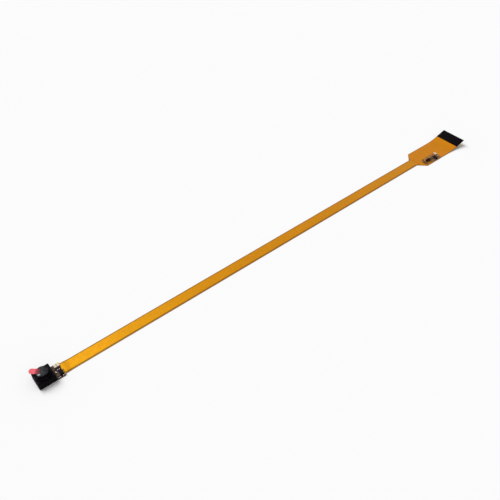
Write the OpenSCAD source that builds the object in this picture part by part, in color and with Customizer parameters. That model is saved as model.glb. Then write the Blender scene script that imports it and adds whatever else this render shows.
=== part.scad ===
/* [Flex circuit] */
// Thickness of the flex laminate
flex_t = 0.12; // [0.1:0.01:0.2]
// Width of the ribbon
ribbon_w = 6.7; // [5:0.1:8]
// Length of the ribbon, from the head to the taper
ribbon_l = 241.7; // [100:0.1:400]
// Radius of the outline's inside corners
inside_r = 1.2; // [0.5:0.1:2]
// Radius of the outline's outside corners
outside_r = 0.4; // [0.2:0.1:1]
// Radius of the gentle bend that brings the ribbon down to the table
drop_r = 20; // [12:1:40]

/* [Contact end] */
// Number of contacts
contact_n = 15; // [14:1:22]
// Spacing of the contacts
contact_pitch = 1; // [0.95:0.05:1.25]
// Width of one contact
contact_w = 0.7; // [0.4:0.05:0.8]
// Distance from the outer contacts to the flex's side edges
end_margin = 0.65; // [0.4:0.05:1]
// Length of the bare contacts
contact_l = 4.5; // [3:0.1:6]
// Thickness of the plated copper that stands out at the contacts
contact_t = 0.035; // [0.02:0.005:0.06]
// Angle of the taper between the ribbon and the contact end
taper_angle = 45; // [35:1:60]
// Length of the flat stretch that carries the small parts
end_flat_l = 18; // [17:0.5:40]
// Radius of the curl in front of the contacts
curl_r = 40; // [20:0.5:80]
// Angle through which the end curls up
curl_angle = 15.5; // [5:0.5:30]
// Length of the stiffened tip
tip_l = 7; // [5:0.5:10]
// Thickness of the tip's stiffener
tip_stiffener_t = 0.18; // [0.1:0.01:0.3]

/* [Head] */
// Length and width of the flex circuit's head under the lens holder
head_w = 8.5; // [8.2:0.1:12]
// Length of the strip of flex that carries the small parts beside the lens holder
strip_l = 4.25; // [4.2:0.05:8]
// Thickness of the stiffener under the head
stiffener_t = 0.25; // [0.1:0.05:0.4]

/* [Lens holder] */
// How far the holder's foot stands out past the flex circuit's head
overhang = 0.15; // [0.05:0.05:0.3]
// Height of the holder's square body
body_h = 3.5; // [2.5:0.1:4.5]
// How far each side of the body leans in from foot to top
draft = 0.2; // [0.05:0.05:0.3]
// Thickness of the body's walls
wall_t = 0.65; // [0.4:0.05:0.8]
// Size of the chamfer round the body's top
chamfer = 0.25; // [0.1:0.05:0.35]
// Radius of the body's upright corners at the foot
holder_corner_r = 0.6; // [0.6:0.1:1]
// Height of the round tower above the body
tower_h = 1.1; // [0.8:0.05:2]
// Thickness of the tower's wall round the thread
tower_wall = 0.72; // [0.4:0.02:1]
// Height of the cavity over the image sensor
cavity_h = 1.35; // [1.25:0.05:1.6]
// Thickness of the ledge that carries the filter
ledge_t = 0.3; // [0.2:0.05:0.5]
// Number of glue notches in the tower's rim
glue_notch_n = 4; // [2:1:6]

/* [Lens barrel] */
// Outside diameter of the barrel's thread
barrel_d = 6; // [5.5:0.1:6.4]
// Length of the barrel
barrel_l = 2.95; // [2.8:0.05:4]
// Height of the barrel's rim above the tower
barrel_proud = 0.9; // [0.5:0.05:1.1]
// Number of grip notches in the rim
grip_n = 6; // [3:1:8]
// Radius of the front aperture
aperture_r = 1; // [0.6:0.05:1.2]

/* [Film] */
// Diameter of the protective film
film_d = 5.5; // [5:0.1:5.6]
// How far the film sits off the lens axis, towards the ribbon
film_shift = 0.2; // [0:0.05:0.2]
// Thickness of the protective film
film_t = 0.06; // [0.03:0.01:0.1]
// Thickness of the coloured foil on its tab
tab_t = 0.05; // [0.03:0.01:0.1]
// Width of the tab
tab_w = 2.8; // [2:0.1:4]
// Reach of the tab from the film's middle
tab_reach = 5.9; // [5:0.1:8]
// Angle through which the tab lifts
tab_lift = 10; // [0:1:30]
// Direction of the tab round the lens axis
tab_direction = 143; // [90:1:180]

/* [Image sensor] */
// Length and width of the sensor
sensor_size = [5.7, 5.1]; // [4.5:0.1:6]
// Thickness of the sensor's silicon
die_t = 0.45; // [0.3:0.05:0.5]
// Thickness of its cover glass
cover_t = 0.4; // [0.2:0.05:0.45]
// Length of each side of the infrared filter
filter_side = 5.2; // [4.8:0.1:6]
// Thickness of the filter
filter_t = 0.3; // [0.2:0.05:0.35]

/* [Small parts] */
// Small chip: length, width, height and length of each end
chip_small = [1, 0.5, 0.5, 0.25]; // [0.2:0.05:1.2]
// Large chip: length, width, height and length of each end
chip_large = [2, 1.25, 0.85, 0.4]; // [0.2:0.05:2.2]
// Low chip: length, width, height and length of each end
chip_low = [1, 0.5, 0.35, 0.22]; // [0.2:0.05:1.2]
// Thickness of the solder under each part
solder_t = 0.03; // [0.02:0.01:0.06]
// Length of the solder fillet beyond each part's end
solder_toe = 0.22; // [0.1:0.02:0.25]
// Regulator's moulded body: length, width and height
regulator_size = [2.9, 1.6, 1.1]; // [0.8:0.1:3]
// Driver's moulded body: length, width and height
driver_size = [2.6, 1.6, 0.9]; // [0.8:0.05:2.8]
// Thickness of the parts' leads
lead_t = 0.12; // [0.08:0.01:0.16]

/* [Hidden] */
$fn = 64;

// Heights of the stack at the head, from the table up
flex_z = stiffener_t;
flex_top = flex_z + flex_t;
body_top = flex_top + body_h;
tower_top = body_top + tower_h;
barrel_top = tower_top + barrel_proud;
barrel_z = barrel_top - barrel_l;
ledge_z = flex_top + cavity_h;
bore_z = ledge_z + ledge_t;

// Places along the part, from the lens axis
head_x = -head_w / 2;
strip_x = head_w / 2;
holder_w = head_w + 2 * overhang;
strip_end = strip_x + strip_l;
taper_x = strip_end + ribbon_l;
end_w = contact_pitch * (contact_n - 1) + contact_w + 2 * end_margin;
base_x = taper_x + (end_w - ribbon_w) / 2 / tan(taper_angle);
curl_x = base_x + end_flat_l;
curl_l = curl_r * curl_angle * PI / 180;
spare = 2;

// The drop from the head to the table is two equal arcs, down and level again
drop_angle = acos(1 - flex_z / (2 * drop_r));
drop_l = drop_r * drop_angle * PI / 180;
drop_run = 2 * drop_r * sin(drop_angle);

thread_gap = 0.02;
fit_gap = 0.03;
bond_gap = 0.001;
barrel_r = barrel_d / 2;
bore_r = barrel_r + thread_gap;
tower_r = bore_r + tower_wall;

// ---- Outlines and paths ----

// A path's state is [x, z, heading]. This is the state a share t along an arc of that length and turn.
function along(s, l, turn, t) =
    abs(turn) < 0.001
    ? [s[0] + l * t * cos(s[2]), s[1] + l * t * sin(s[2]), s[2]]
    : let (r = l / (turn * PI / 180), h = s[2] + turn * t)
      [s[0] + r * (sin(h) - sin(s[2])), s[1] + r * (cos(s[2]) - cos(h)), h];

// The states along a list of [length, turn] pieces, with a step of at most step_angle
function path_states(s, pieces, step_angle = 1.5, i = 0) =
    i == len(pieces)
    ? [s]
    : let (
        n = max(1, ceil(abs(pieces[i][1]) / step_angle)),
        steps = [for (k = [1:n]) along(s, pieces[i][0], pieces[i][1], k / n)]
      )
      concat([s], [for (k = [0:1:n - 2]) steps[k]],
             path_states(steps[n - 1], pieces, step_angle, i + 1));

// The side view of a sheet that follows a path, from low to high above the path's own line
function sheet_outline(states, low, high) = concat(
    [for (s = states) [s[0] - low * sin(s[2]), s[1] + low * cos(s[2])]],
    [for (i = [len(states) - 1:-1:0])
        [states[i][0] - high * sin(states[i][2]), states[i][1] + high * cos(states[i][2])]]
);

// A corner of an outline, rounded by an arc of radius r
function rounded_corner(a, b, c, r, n = 8) =
    let (
        u = (a - b) / norm(a - b),
        v = (c - b) / norm(c - b),
        half = acos(u * v) / 2,
        middle = b + (u + v) / norm(u + v) * r / sin(half),
        from = b + u * r / tan(half) - middle,
        side = cross(u, v) > 0 ? 1 : -1,
        sweep = -side * (180 - 2 * half)
    )
    [for (i = [0:n])
        let (t = sweep * i / n)
        middle + [from[0] * cos(t) - from[1] * sin(t), from[0] * sin(t) + from[1] * cos(t)]];

// An outline of [x, y, corner radius] points as a list of plain points
function rounded(points) =
    let (n = len(points))
    [for (i = [0:n - 1])
        let (a = points[(i + n - 1) % n], b = points[i], c = points[(i + 1) % n])
        each b[2] == 0 ? [[b[0], b[1]]]
            : rounded_corner([a[0], a[1]], [b[0], b[1]], [c[0], c[1]], b[2])];

// A flat bar or sheet bent along a path, centred on y = 0
module bent_sheet(states, low, high, width) {
    rotate([90, 0, 0])
        linear_extrude(width, center = true)
            polygon(sheet_outline(states, low, high));
}

// A rectangle with true round corners, centred on x and y
module rounded_rect(l, w, r) {
    square([l - 2 * r, w], center = true);
    square([l, w - 2 * r], center = true);
    for (x = [-1, 1], y = [-1, 1])
        translate([x * (l / 2 - r), y * (w / 2 - r)])
            circle(r);
}

// A block whose side view, given by points of [reach from the middle, height], is the same from x and y
module drafted_block(l, w, profile) {
    intersection() {
        rotate([90, 0, 0])
            linear_extrude(w + spare, center = true)
                polygon(mirrored([for (p = profile) [p[0] + l / 2, p[1]]]));
        rotate([90, 0, 90])
            linear_extrude(l + spare, center = true)
                polygon(mirrored([for (p = profile) [p[0] + w / 2, p[1]]]));
    }
}
function mirrored(points) = concat(
    points, [for (i = [len(points) - 1:-1:0]) [-points[i][0], points[i][1]]]
);

// ---- Flex circuit ----

// The flex's underside, from the head pad to the tip
flex_path = path_states([head_x - spare, flex_z, 0], [
    [strip_end - head_x + spare, 0],
    [drop_l, -drop_angle],
    [drop_l, drop_angle],
    [curl_x - strip_end - drop_run, 0],
    [curl_l, curl_angle],
    [tip_l, 0]
]);

// One side of the flex's outline, from the head to past the tip
flex_side = [
    [head_x, head_w / 2, outside_r],
    [strip_end, head_w / 2, outside_r],
    [strip_end, ribbon_w / 2, 0],
    [taper_x, ribbon_w / 2, inside_r],
    [base_x, end_w / 2, outside_r],
    [curl_x + curl_l + tip_l + spare, end_w / 2, 0]
];

// Places the children on the straight tip: x runs back from the tip's end and z = 0 is the flex's underside
module at_tip() {
    end = flex_path[len(flex_path) - 1];
    translate([end[0], 0, end[1]])
        rotate([0, -curl_angle, 0])
            mirror([1, 0, 0])
                children();
}

module flex_circuit() {
    other_side = [for (i = [len(flex_side) - 1:-1:0])
        [flex_side[i][0], -flex_side[i][1], flex_side[i][2]]];
    color("darkorange")
        intersection() {
            bent_sheet(flex_path, 0, flex_t, end_w + spare);
            translate([0, 0, -spare])
                linear_extrude(flex_top + curl_l + tip_l + spare)
                    polygon(rounded(concat(flex_side, other_side)));
        }
}

module head_stiffener() {
    color([0.16, 0.13, 0.11])
        translate([(head_x + strip_end) / 2, 0, 0])
            linear_extrude(stiffener_t)
                rounded_rect(strip_end - head_x, head_w, outside_r);
}

module contact_stiffener() {
    color([0.06, 0.06, 0.07])
        at_tip()
            translate([0, -end_w / 2, flex_t + bond_gap])
                cube([tip_l, end_w, tip_stiffener_t]);
}

module contacts() {
    color("gold")
        at_tip()
            for (i = [0:contact_n - 1])
                translate([0, (i - (contact_n - 1) / 2) * contact_pitch, -bond_gap])
                    translate([0, -contact_w / 2, -contact_t])
                        cube([contact_l, contact_w, contact_t]);
}

// ---- Image sensor and filter ----

module image_sensor() {
    color([0.25, 0.27, 0.33])
        translate([-sensor_size[0] / 2, -sensor_size[1] / 2, flex_top])
            cube([sensor_size[0], sensor_size[1], die_t]);
}

module sensor_cover_glass() {
    color([0.75, 0.85, 0.9, 0.5])
        translate([-sensor_size[0] / 2, -sensor_size[1] / 2, flex_top + die_t])
            cube([sensor_size[0], sensor_size[1], cover_t]);
}

// The filter hangs under the holder's ledge, where it is glued
module infrared_filter() {
    color([0.6, 0.8, 0.85, 0.5])
        translate([-filter_side / 2, -filter_side / 2, ledge_z - filter_t])
            cube([filter_side, filter_side, filter_t]);
}

// ---- Lens holder ----

notch_w = 0.7;
notch_depth = 0.35;
filter_rim = 0.45;
tower_chamfer = 0.15;
foot_h = 0.2;

// Stands on the head: a square box with a bored round tower
module lens_holder() {
    window = filter_side - 2 * filter_rim;
    color([0.07, 0.07, 0.08])
        difference() {
            union() {
                holder_body();
                holder_tower();
            }
            translate([0, 0, flex_top - spare + cavity_h / 2])
                cube([holder_w - 2 * wall_t, holder_w - 2 * wall_t, 2 * spare + cavity_h], center = true);
            translate([0, 0, ledge_z])
                cube([window, window, 3 * ledge_t], center = true);
            translate([0, 0, bore_z])
                cylinder(h = tower_top - bore_z + spare, r = bore_r);
            glue_notches();
        }
}

// Four leaning sides that meet in corners which slim from foot to top, and a chamfer round the top
module holder_body() {
    side_h = body_h - chamfer;
    side_r = holder_corner_r - draft;
    flat_w = holder_w - 2 * holder_corner_r;
    side = mirrored([
        [holder_w / 2, 0], [holder_w / 2 - draft, side_h], [holder_w / 2 - draft - chamfer, body_h]
    ]);
    translate([0, 0, flex_top]) {
        for (turn = [0, 90])
            rotate([90, 0, turn])
                linear_extrude(flat_w, center = true)
                    polygon(side);
        for (x = [-1, 1], y = [-1, 1])
            translate([x * flat_w / 2, y * flat_w / 2, 0]) {
                cylinder(h = side_h, r1 = holder_corner_r, r2 = side_r);
                translate([0, 0, side_h])
                    cylinder(h = chamfer, r1 = side_r, r2 = side_r - chamfer);
            }
    }
}

// The tower flares into the body at its foot and has a small chamfer at its rim
module holder_tower() {
    translate([0, 0, body_top - foot_h])
        cylinder(h = tower_h + foot_h - tower_chamfer, r = tower_r);
    translate([0, 0, body_top])
        cylinder(h = foot_h, r1 = tower_r + foot_h, r2 = tower_r);
    translate([0, 0, tower_top - tower_chamfer])
        cylinder(h = tower_chamfer, r1 = tower_r, r2 = tower_r - tower_chamfer);
}

module glue_notches() {
    for (i = [0:glue_notch_n - 1])
        rotate([0, 0, 360 / glue_notch_n * (i + 0.5)])
            translate([barrel_r, -notch_w / 2, tower_top - notch_depth])
                cube([tower_wall + spare, notch_w, notch_depth + spare]);
}

// ---- Lens barrel and optics ----

// The barrel's bore has three seats, each [radius, height], from the front down
mouth_h = 0.45;
lip_h = 0.1;
seats = [[1.5, 0.75], [1.9, 0.75], [2.3, 0.9]];
front_seat_z = barrel_top - mouth_h - lip_h;
middle_seat_z = front_seat_z - seats[0][1];
rear_seat_z = middle_seat_z - seats[1][1];
seat_gap = 0.02;
mouth_r = 1.95;
grip_w = 0.55;
grip_depth = 0.4;
rim_chamfer = 0.12;

module lens_barrel() {
    color([0.09, 0.09, 0.1])
        difference() {
            union() {
                translate([0, 0, barrel_z])
                    cylinder(h = barrel_l - rim_chamfer, r = barrel_r);
                translate([0, 0, barrel_top - rim_chamfer])
                    cylinder(h = rim_chamfer, r1 = barrel_r, r2 = barrel_r - rim_chamfer);
            }
            translate([0, 0, barrel_top - mouth_h])
                cylinder(h = mouth_h, r1 = aperture_r, r2 = mouth_r);
            translate([0, 0, front_seat_z - spare])
                cylinder(h = 2 * spare, r = aperture_r);
            translate([0, 0, middle_seat_z])
                cylinder(h = seats[0][1], r = seats[0][0]);
            translate([0, 0, rear_seat_z])
                cylinder(h = seats[1][1], r = seats[1][0]);
            translate([0, 0, barrel_z - spare])
                cylinder(h = rear_seat_z - barrel_z + spare, r = seats[2][0]);
            grip_notches();
        }
}

module grip_notches() {
    for (i = [0:grip_n - 1])
        rotate([0, 0, 360 / grip_n * i])
            translate([barrel_r - grip_depth, -grip_w / 2, barrel_top - grip_depth])
                cube([grip_depth + spare, grip_w, grip_depth + spare]);
}

// A lens with a flat flange, a bulging front and a hollowed rear. z is its flange's underside.
module lens(z, r, t, front_r, front_clear, rear_r, rear_clear) {
    front_sag = front_r - sqrt(front_r * front_r - front_clear * front_clear);
    rear_sag = rear_r - sqrt(rear_r * rear_r - rear_clear * rear_clear);
    translate([0, 0, z])
        difference() {
            union() {
                cylinder(h = t, r = r);
                intersection() {
                    cylinder(h = t + front_sag, r = front_clear);
                    translate([0, 0, t + front_sag - front_r])
                        sphere(front_r);
                }
            }
            translate([0, 0, rear_sag - rear_r])
                sphere(rear_r);
        }
}

front_lens_t = 0.55;
stop_t = 0.08;
middle_lens_t = 0.4;
spacer_t = 0.12;
rear_lens_t = 0.45;

module front_lens() {
    color([0.55, 0.6, 0.75, 0.6])
        lens(front_seat_z - front_lens_t, seats[0][0] - seat_gap, front_lens_t,
             2.4, aperture_r - fit_gap, 3.2, 0.9);
}

// A thin ring clamped between the front and middle lenses
module aperture_stop() {
    color([0.05, 0.05, 0.05])
        translate([0, 0, middle_seat_z - stop_t])
            difference() {
                cylinder(h = stop_t, r = seats[1][0] - seat_gap);
                translate([0, 0, -spare])
                    cylinder(h = 2 * spare, r = aperture_r);
            }
}

module middle_lens() {
    color([0.6, 0.65, 0.75, 0.6])
        lens(middle_seat_z - stop_t - middle_lens_t, seats[1][0] - seat_gap, middle_lens_t,
             6, 0.6, 4, 1.2);
}

module lens_spacer() {
    color([0.05, 0.05, 0.05])
        translate([0, 0, rear_seat_z - spacer_t])
            difference() {
                cylinder(h = spacer_t, r = seats[2][0] - seat_gap);
                translate([0, 0, -spare])
                    cylinder(h = 2 * spare, r = seats[1][0] - 0.3);
            }
}

module rear_lens() {
    color([0.6, 0.65, 0.75, 0.6])
        lens(rear_seat_z - spacer_t - rear_lens_t, seats[2][0] - seat_gap, rear_lens_t,
             9, 1.3, 9, 1.5);
}

// A ring pressed in behind the rear lens
module lens_retainer() {
    retainer_h = rear_seat_z - spacer_t - rear_lens_t - barrel_z;
    color([0.08, 0.08, 0.09])
        translate([0, 0, barrel_z])
            difference() {
                cylinder(h = retainer_h, r = seats[2][0] - seat_gap);
                translate([0, 0, -spare])
                    cylinder(h = 2 * spare, r = seats[2][0] - 0.45);
            }
}

// ---- Protective film ----

film_r = film_d / 2;
tab_start = 0.9;
bend_start = 2.5;
bend_l = 1.2;
film_path = path_states([-film_r - spare, barrel_top, 0], [
    [film_r + spare + bend_start, 0],
    [bend_l, tab_lift],
    [tab_reach - bend_start - bend_l, 0]
]);

// The tongue of the film, from x to past the end, with a round end
module tongue(x) {
    translate([x, -tab_w / 2])
        square([tab_reach - tab_w / 2 - x, tab_w]);
    translate([tab_reach - tab_w / 2, 0])
        circle(tab_w / 2);
}

// Cuts a sheet that follows the film's path to the plan given as a child
module film_layer(low, high) {
    translate([film_shift, 0, 0])
        rotate([0, 0, tab_direction])
            intersection() {
                bent_sheet(film_path, low, high, film_d + spare);
                translate([0, 0, barrel_top - spare])
                    linear_extrude(2 * spare + tab_reach)
                        children();
            }
}

module protective_film() {
    color([0.75, 0.78, 0.8, 0.5])
        film_layer(0, film_t) {
            union() {
                circle(film_r);
                tongue(0);
            }
        }
}

module pull_tab() {
    color([0.86, 0.25, 0.3])
        film_layer(film_t, film_t + tab_t)
            tongue(tab_start);
}

// ---- Small parts ----

// Places of the small parts, each [x, y, turn, size]. On the head they run from the strip's middle.
strip_mid_x = strip_x + strip_l / 2;
head_capacitor_places = [
    [strip_mid_x - 1.15, head_w * 0.39, 90, chip_small],
    [strip_mid_x - 1.15, head_w * 0.2, 90, chip_small],
    [strip_mid_x - 0.1, head_w * 0.34, 90, chip_large],
    [strip_mid_x + 1.3, head_w * 0.34, 90, chip_large],
    [strip_mid_x - 1.15, head_w * -0.06, 90, chip_small],
    [strip_mid_x - 1.15, head_w * -0.28, 90, chip_small]
];
head_resistor_places = [
    [strip_mid_x + 0.5, head_w * 0.05, 0, chip_low],
    [strip_mid_x - 0.95, head_w * -0.45, 0, chip_low],
    [strip_mid_x + 1.3, head_w * -0.45, 0, chip_low]
];
driver_place = [strip_mid_x + 0.65, head_w * -0.205, 90];

// On the contact end they run from its wide corner, at the edge nearest the parts
edge_y = -end_w / 2;
end_capacitor_places = [
    [base_x + 1.55, edge_y + 4.2, 0, chip_small],
    [base_x + 2.4, edge_y + 5.75, 0, chip_small],
    [base_x + 1.2, edge_y + 2.35, 0, chip_small],
    [base_x + 7.1, edge_y + 4.05, 90, chip_small],
    [base_x + 13.1, edge_y + 4.95, 90, chip_large],
    [base_x + 12.8, edge_y + 2.45, 0, chip_small]
];
end_resistor_places = [
    [base_x + 7, edge_y + 1.25, 0, chip_low],
    [base_x + 9.6, edge_y + 4.95, 0, chip_low],
    [base_x + 12.4, edge_y + 0.85, 0, chip_low]
];
regulator_places = [
    [base_x + 4.6, edge_y + 3.45, 0],
    [base_x + 9.7, edge_y + 2.25, 90]
];

module at_places(places, z) {
    for (p = places)
        translate([p[0], p[1], z])
            rotate([0, 0, p[2]])
                let ($size = p[3])
                    children();
}

// A chip's body is a little slimmer than its plated ends
module chip_bodies(places, z) {
    at_places(places, z + solder_t)
        translate([0, 0, $size[2] / 2])
            cube([$size[0] - 2 * $size[3], $size[1] - 0.04, $size[2] - 0.04], center = true);
}

module chip_terminals(places, z) {
    at_places(places, z + solder_t)
        for (side = [0, 180])
            rotate([0, 0, side])
                translate([$size[0] / 2 - $size[3], -$size[1] / 2, 0])
                    cube([$size[3], $size[1], $size[2]]);
}

// Each joint is a flat under the part's end and a hollow fillet beyond it
module solder_joints(places, z) {
    at_places(places, z)
        for (side = [0, 180])
            rotate([0, 0, side])
                translate([$size[0] / 2, 0, 0])
                    solder_joint($size[3], $size[1] + 0.1, min($size[2] * 0.6, 0.3));
}

module solder_joint(under, width, rise) {
    curve = [for (a = [0:15:90]) [solder_toe * (1 - sin(a)), solder_t + rise * (1 - cos(a))]];
    rotate([90, 0, 0])
        linear_extrude(width, center = true)
            polygon(concat([[-under, 0], [solder_toe, 0]], curve, [[0, solder_t], [-under, solder_t]]));
}

// A moulded package: its sides slope in above and below the level where the leads come out
stand_off = 0.08;
function lead_level(size) = size[2] * 0.45;

module moulded_body(place, z, size) {
    slope = size[2] * 0.09;
    level = lead_level(size);
    color([0.08, 0.08, 0.09])
        translate([place[0], place[1], z + solder_t + stand_off])
            rotate([0, 0, place[2]])
                difference() {
                    drafted_block(size[0], size[1], [
                        [-slope, 0], [0, level - lead_t], [0, level + lead_t], [-slope, size[2] - stand_off]
                    ]);
                    translate([size[0] * 0.36, -size[1] * 0.25, size[2] - stand_off - 0.04])
                        cylinder(h = spare, r = 0.12);
                }
}

// Gull-wing leads, three on one side and two on the other. Each follows the path of its middle line.
module package_leads(place, z, size, pitch, lead_w, reach) {
    steep = 80;
    shoulder = 0.08;
    fall = stand_off + lead_level(size) - lead_t / 2;
    slope_l = (fall - 2 * lead_t * (1 - cos(steep))) / sin(steep);
    bend_l = lead_t * steep * PI / 180;
    run = shoulder + 2 * lead_t * sin(steep) + slope_l * cos(steep);
    lead_path = path_states([size[1] / 2, solder_t + lead_t / 2 + fall, 0], [
        [shoulder, 0], [bend_l, -steep], [slope_l, 0], [bend_l, steep], [reach - size[1] / 2 - run, 0]
    ], 20);
    color("silver")
        translate([place[0], place[1], z])
            rotate([0, 0, place[2]])
                for (i = [-1, 0, 1], side = i == 0 ? [1] : [-1, 1])
                    translate([i * pitch, 0, 0])
                        rotate([0, 0, side * 90])
                            bent_sheet(lead_path, -lead_t / 2, lead_t / 2, lead_w);
}

// A flat of solder under each lead's foot
module lead_solder(place, z, size, pitch, lead_w, reach) {
    foot = 0.45;
    translate([place[0], place[1], z])
        rotate([0, 0, place[2]])
            for (i = [-1, 0, 1], side = i == 0 ? [1] : [-1, 1])
                translate([i * pitch, 0, 0])
                    rotate([0, 0, side * 90])
                        translate([reach - foot, -lead_w / 2 - 0.06, 0])
                            cube([foot + 0.12, lead_w + 0.12, solder_t]);
}

regulator_pitch = 0.95;
regulator_reach = 1.42;
regulator_lead_w = 0.38;
driver_pitch = 0.8;
driver_reach = 1.3;
driver_lead_w = 0.3;

module head_capacitors() {
    color([0.72, 0.6, 0.42])
        chip_bodies(head_capacitor_places, flex_top);
}

module head_resistors() {
    color([0.1, 0.1, 0.11])
        chip_bodies(head_resistor_places, flex_top);
}

module head_terminals() {
    color("silver")
        chip_terminals(concat(head_capacitor_places, head_resistor_places), flex_top);
}

module head_solder() {
    color("gainsboro") {
        solder_joints(concat(head_capacitor_places, head_resistor_places), flex_top);
        lead_solder(driver_place, flex_top, driver_size, driver_pitch, driver_lead_w, driver_reach);
    }
}

module driver_chip() {
    moulded_body(driver_place, flex_top, driver_size);
}

module driver_leads() {
    package_leads(driver_place, flex_top, driver_size, driver_pitch, driver_lead_w, driver_reach);
}

module end_capacitors() {
    color([0.72, 0.6, 0.42])
        chip_bodies(end_capacitor_places, flex_t);
}

module end_resistors() {
    color([0.1, 0.1, 0.11])
        chip_bodies(end_resistor_places, flex_t);
}

module end_terminals() {
    color("silver")
        chip_terminals(concat(end_capacitor_places, end_resistor_places), flex_t);
}

module end_solder() {
    color("gainsboro") {
        solder_joints(concat(end_capacitor_places, end_resistor_places), flex_t);
        for (p = regulator_places)
            lead_solder(p, flex_t, regulator_size, regulator_pitch, regulator_lead_w, regulator_reach);
    }
}

module regulator(i) {
    moulded_body(regulator_places[i], flex_t, regulator_size);
}

module regulator_leads(i) {
    package_leads(regulator_places[i], flex_t, regulator_size,
                  regulator_pitch, regulator_lead_w, regulator_reach);
}

flex_circuit();
head_stiffener();
contact_stiffener();
contacts();
image_sensor();
sensor_cover_glass();
infrared_filter();
lens_holder();
lens_barrel();
front_lens();
aperture_stop();
middle_lens();
lens_spacer();
rear_lens();
lens_retainer();
protective_film();
pull_tab();
head_capacitors();
head_resistors();
head_terminals();
head_solder();
driver_chip();
driver_leads();
end_capacitors();
end_resistors();
end_terminals();
end_solder();
regulator(0);  // regulator_1
regulator_leads(0);  // regulator_1_leads
regulator(1);  // regulator_2
regulator_leads(1);  // regulator_2_leads
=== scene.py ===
import math

import bmesh
import bpy
from mathutils import Matrix, Vector, noise


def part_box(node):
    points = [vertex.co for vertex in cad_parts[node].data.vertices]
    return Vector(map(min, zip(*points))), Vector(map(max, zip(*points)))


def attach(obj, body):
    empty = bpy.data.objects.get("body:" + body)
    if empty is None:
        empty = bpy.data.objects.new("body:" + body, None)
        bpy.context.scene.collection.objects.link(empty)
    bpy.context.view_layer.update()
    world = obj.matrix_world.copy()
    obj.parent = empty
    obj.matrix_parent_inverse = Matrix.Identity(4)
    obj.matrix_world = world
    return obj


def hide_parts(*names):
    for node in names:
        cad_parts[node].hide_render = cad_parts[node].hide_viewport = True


# A small camera module with a flex ribbon: what is seen of it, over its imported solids.

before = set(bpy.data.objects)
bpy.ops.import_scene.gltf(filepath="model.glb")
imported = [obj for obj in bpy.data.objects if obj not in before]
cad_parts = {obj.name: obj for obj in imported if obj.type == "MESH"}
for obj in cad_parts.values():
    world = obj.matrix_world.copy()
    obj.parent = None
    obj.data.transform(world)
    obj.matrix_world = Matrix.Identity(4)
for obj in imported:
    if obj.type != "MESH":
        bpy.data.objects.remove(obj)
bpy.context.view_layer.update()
MM = 0.001


# ---------------------------------------------------------------- sizes, in millimetres

def mm_box(node):
    """Lowest and highest corner of a node."""
    low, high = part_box(node)
    return low / MM, high / MM


_, holder_high = mm_box("lens_holder")
barrel_low, barrel_high = mm_box("lens_barrel")
pad_low, pad_high = mm_box("head_stiffener")
flex_low, flex_high = mm_box("flex_circuit")

# The flex: from the frame where a box gives it, and otherwise the sizes that its solid has.
FLEX_T = 0.12
STEP_Z = pad_high.z                      # height of the flex's underside at the head
FLEX_TOP = STEP_Z + FLEX_T
HEAD_X = pad_low.x
HEAD_W = pad_high.y - pad_low.y
STRIP_END = pad_high.x                   # where the ribbon leaves the head
RIBBON_W = 6.7
RIBBON_L = 241.7                         # from the head to the taper
DROP_R = 20.0                            # the two bends from the head down to the table
END_W = flex_high.y - flex_low.y
END_FLAT = 18.0
CURL_R = 40.0
CURL = math.radians(15.5)                # slope of the tip
TIP_L = 7.0
INSIDE_R = 1.2                           # round of the taper's inside corners
OUTSIDE_R = 0.4                          # round of all outside corners
CONTACTS = 15
PITCH = 1.0

DROP_END = STRIP_END + 2 * DROP_R * math.sin(math.acos(1 - STEP_Z / (2 * DROP_R)))
TAPER_X = STRIP_END + RIBBON_L
BASE_X = TAPER_X + (END_W - RIBBON_W) / 2
CURL_X = BASE_X + END_FLAT
TIP_X = CURL_X + CURL_R * math.sin(CURL)  # where the straight tip starts, on the underside
TIP_END = TIP_X + TIP_L * math.cos(CURL)

# Copper and coverlay.
SUNK = 0.004                             # how deep the copper's foot lies in the laminate
RISE = 0.012                             # how far the coverlay stands up over copper
TRACE_PITCH = (RIBBON_W - 1.5) / CONTACTS
TRACE_W = 0.33
TRACE_SHIFT = 0.2                        # the copper lies a little off the ribbon's middle
FAN_FROM = TAPER_X - 1.0                 # where the traces start to spread
FAN_TO = BASE_X + 4.0                    # where they have the contacts' pitch
VIA_R = 0.2
VIA_X = [BASE_X - 2.9 + 0.3 * (i % 2) for i in range(CONTACTS)]
POUR_INSET = 0.42                        # bare margin round the ground copper

# Lens holder.
BODY_A = holder_high.x                   # half the body's side at its foot
BODY_WALL = 0.65
TOWER_TOP = holder_high.z
BODY_TOP = TOWER_TOP - 1.1
DRAFT = 0.2                              # how far the body leans in
CHAMFER = 0.25
CORNER_R = 0.6
SIDE_H = BODY_TOP - FLEX_TOP - CHAMFER
BORE_R = 3.02
TOWER_R = BORE_R + 0.72
COVE_R = 0.2
GLUE_NOTCH_Z = TOWER_TOP - 0.35
GLUE_NOTCH_W = 0.7
LEDGE_Z = FLEX_TOP + 1.35                # underside of the ledge that carries the filter
LEDGE_T = 0.3
WINDOW_A = 2.15                          # half the side of the square light window
INNER_CORNER_R = 0.1

# Lens barrel.
BARREL_R = (barrel_high.x - barrel_low.x) / 2
BARREL_TOP = barrel_high.z
THREAD_TURNS = 2
THREAD_PITCH = 0.17
GRIPS = 6
GRIP_W = 0.55
GRIP_H = 0.4
GRIP_DEPTH = 0.4
CONE_R = 1.95
CONE_H = 0.45
CONE_STEPS = 4
APERTURE_R = 1.0
APERTURE_T = 0.1
SEAT_R = (1.5, 1.9, 2.3)                 # bores that hold the lenses, from the top down
SEAT_H = 0.75

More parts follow.
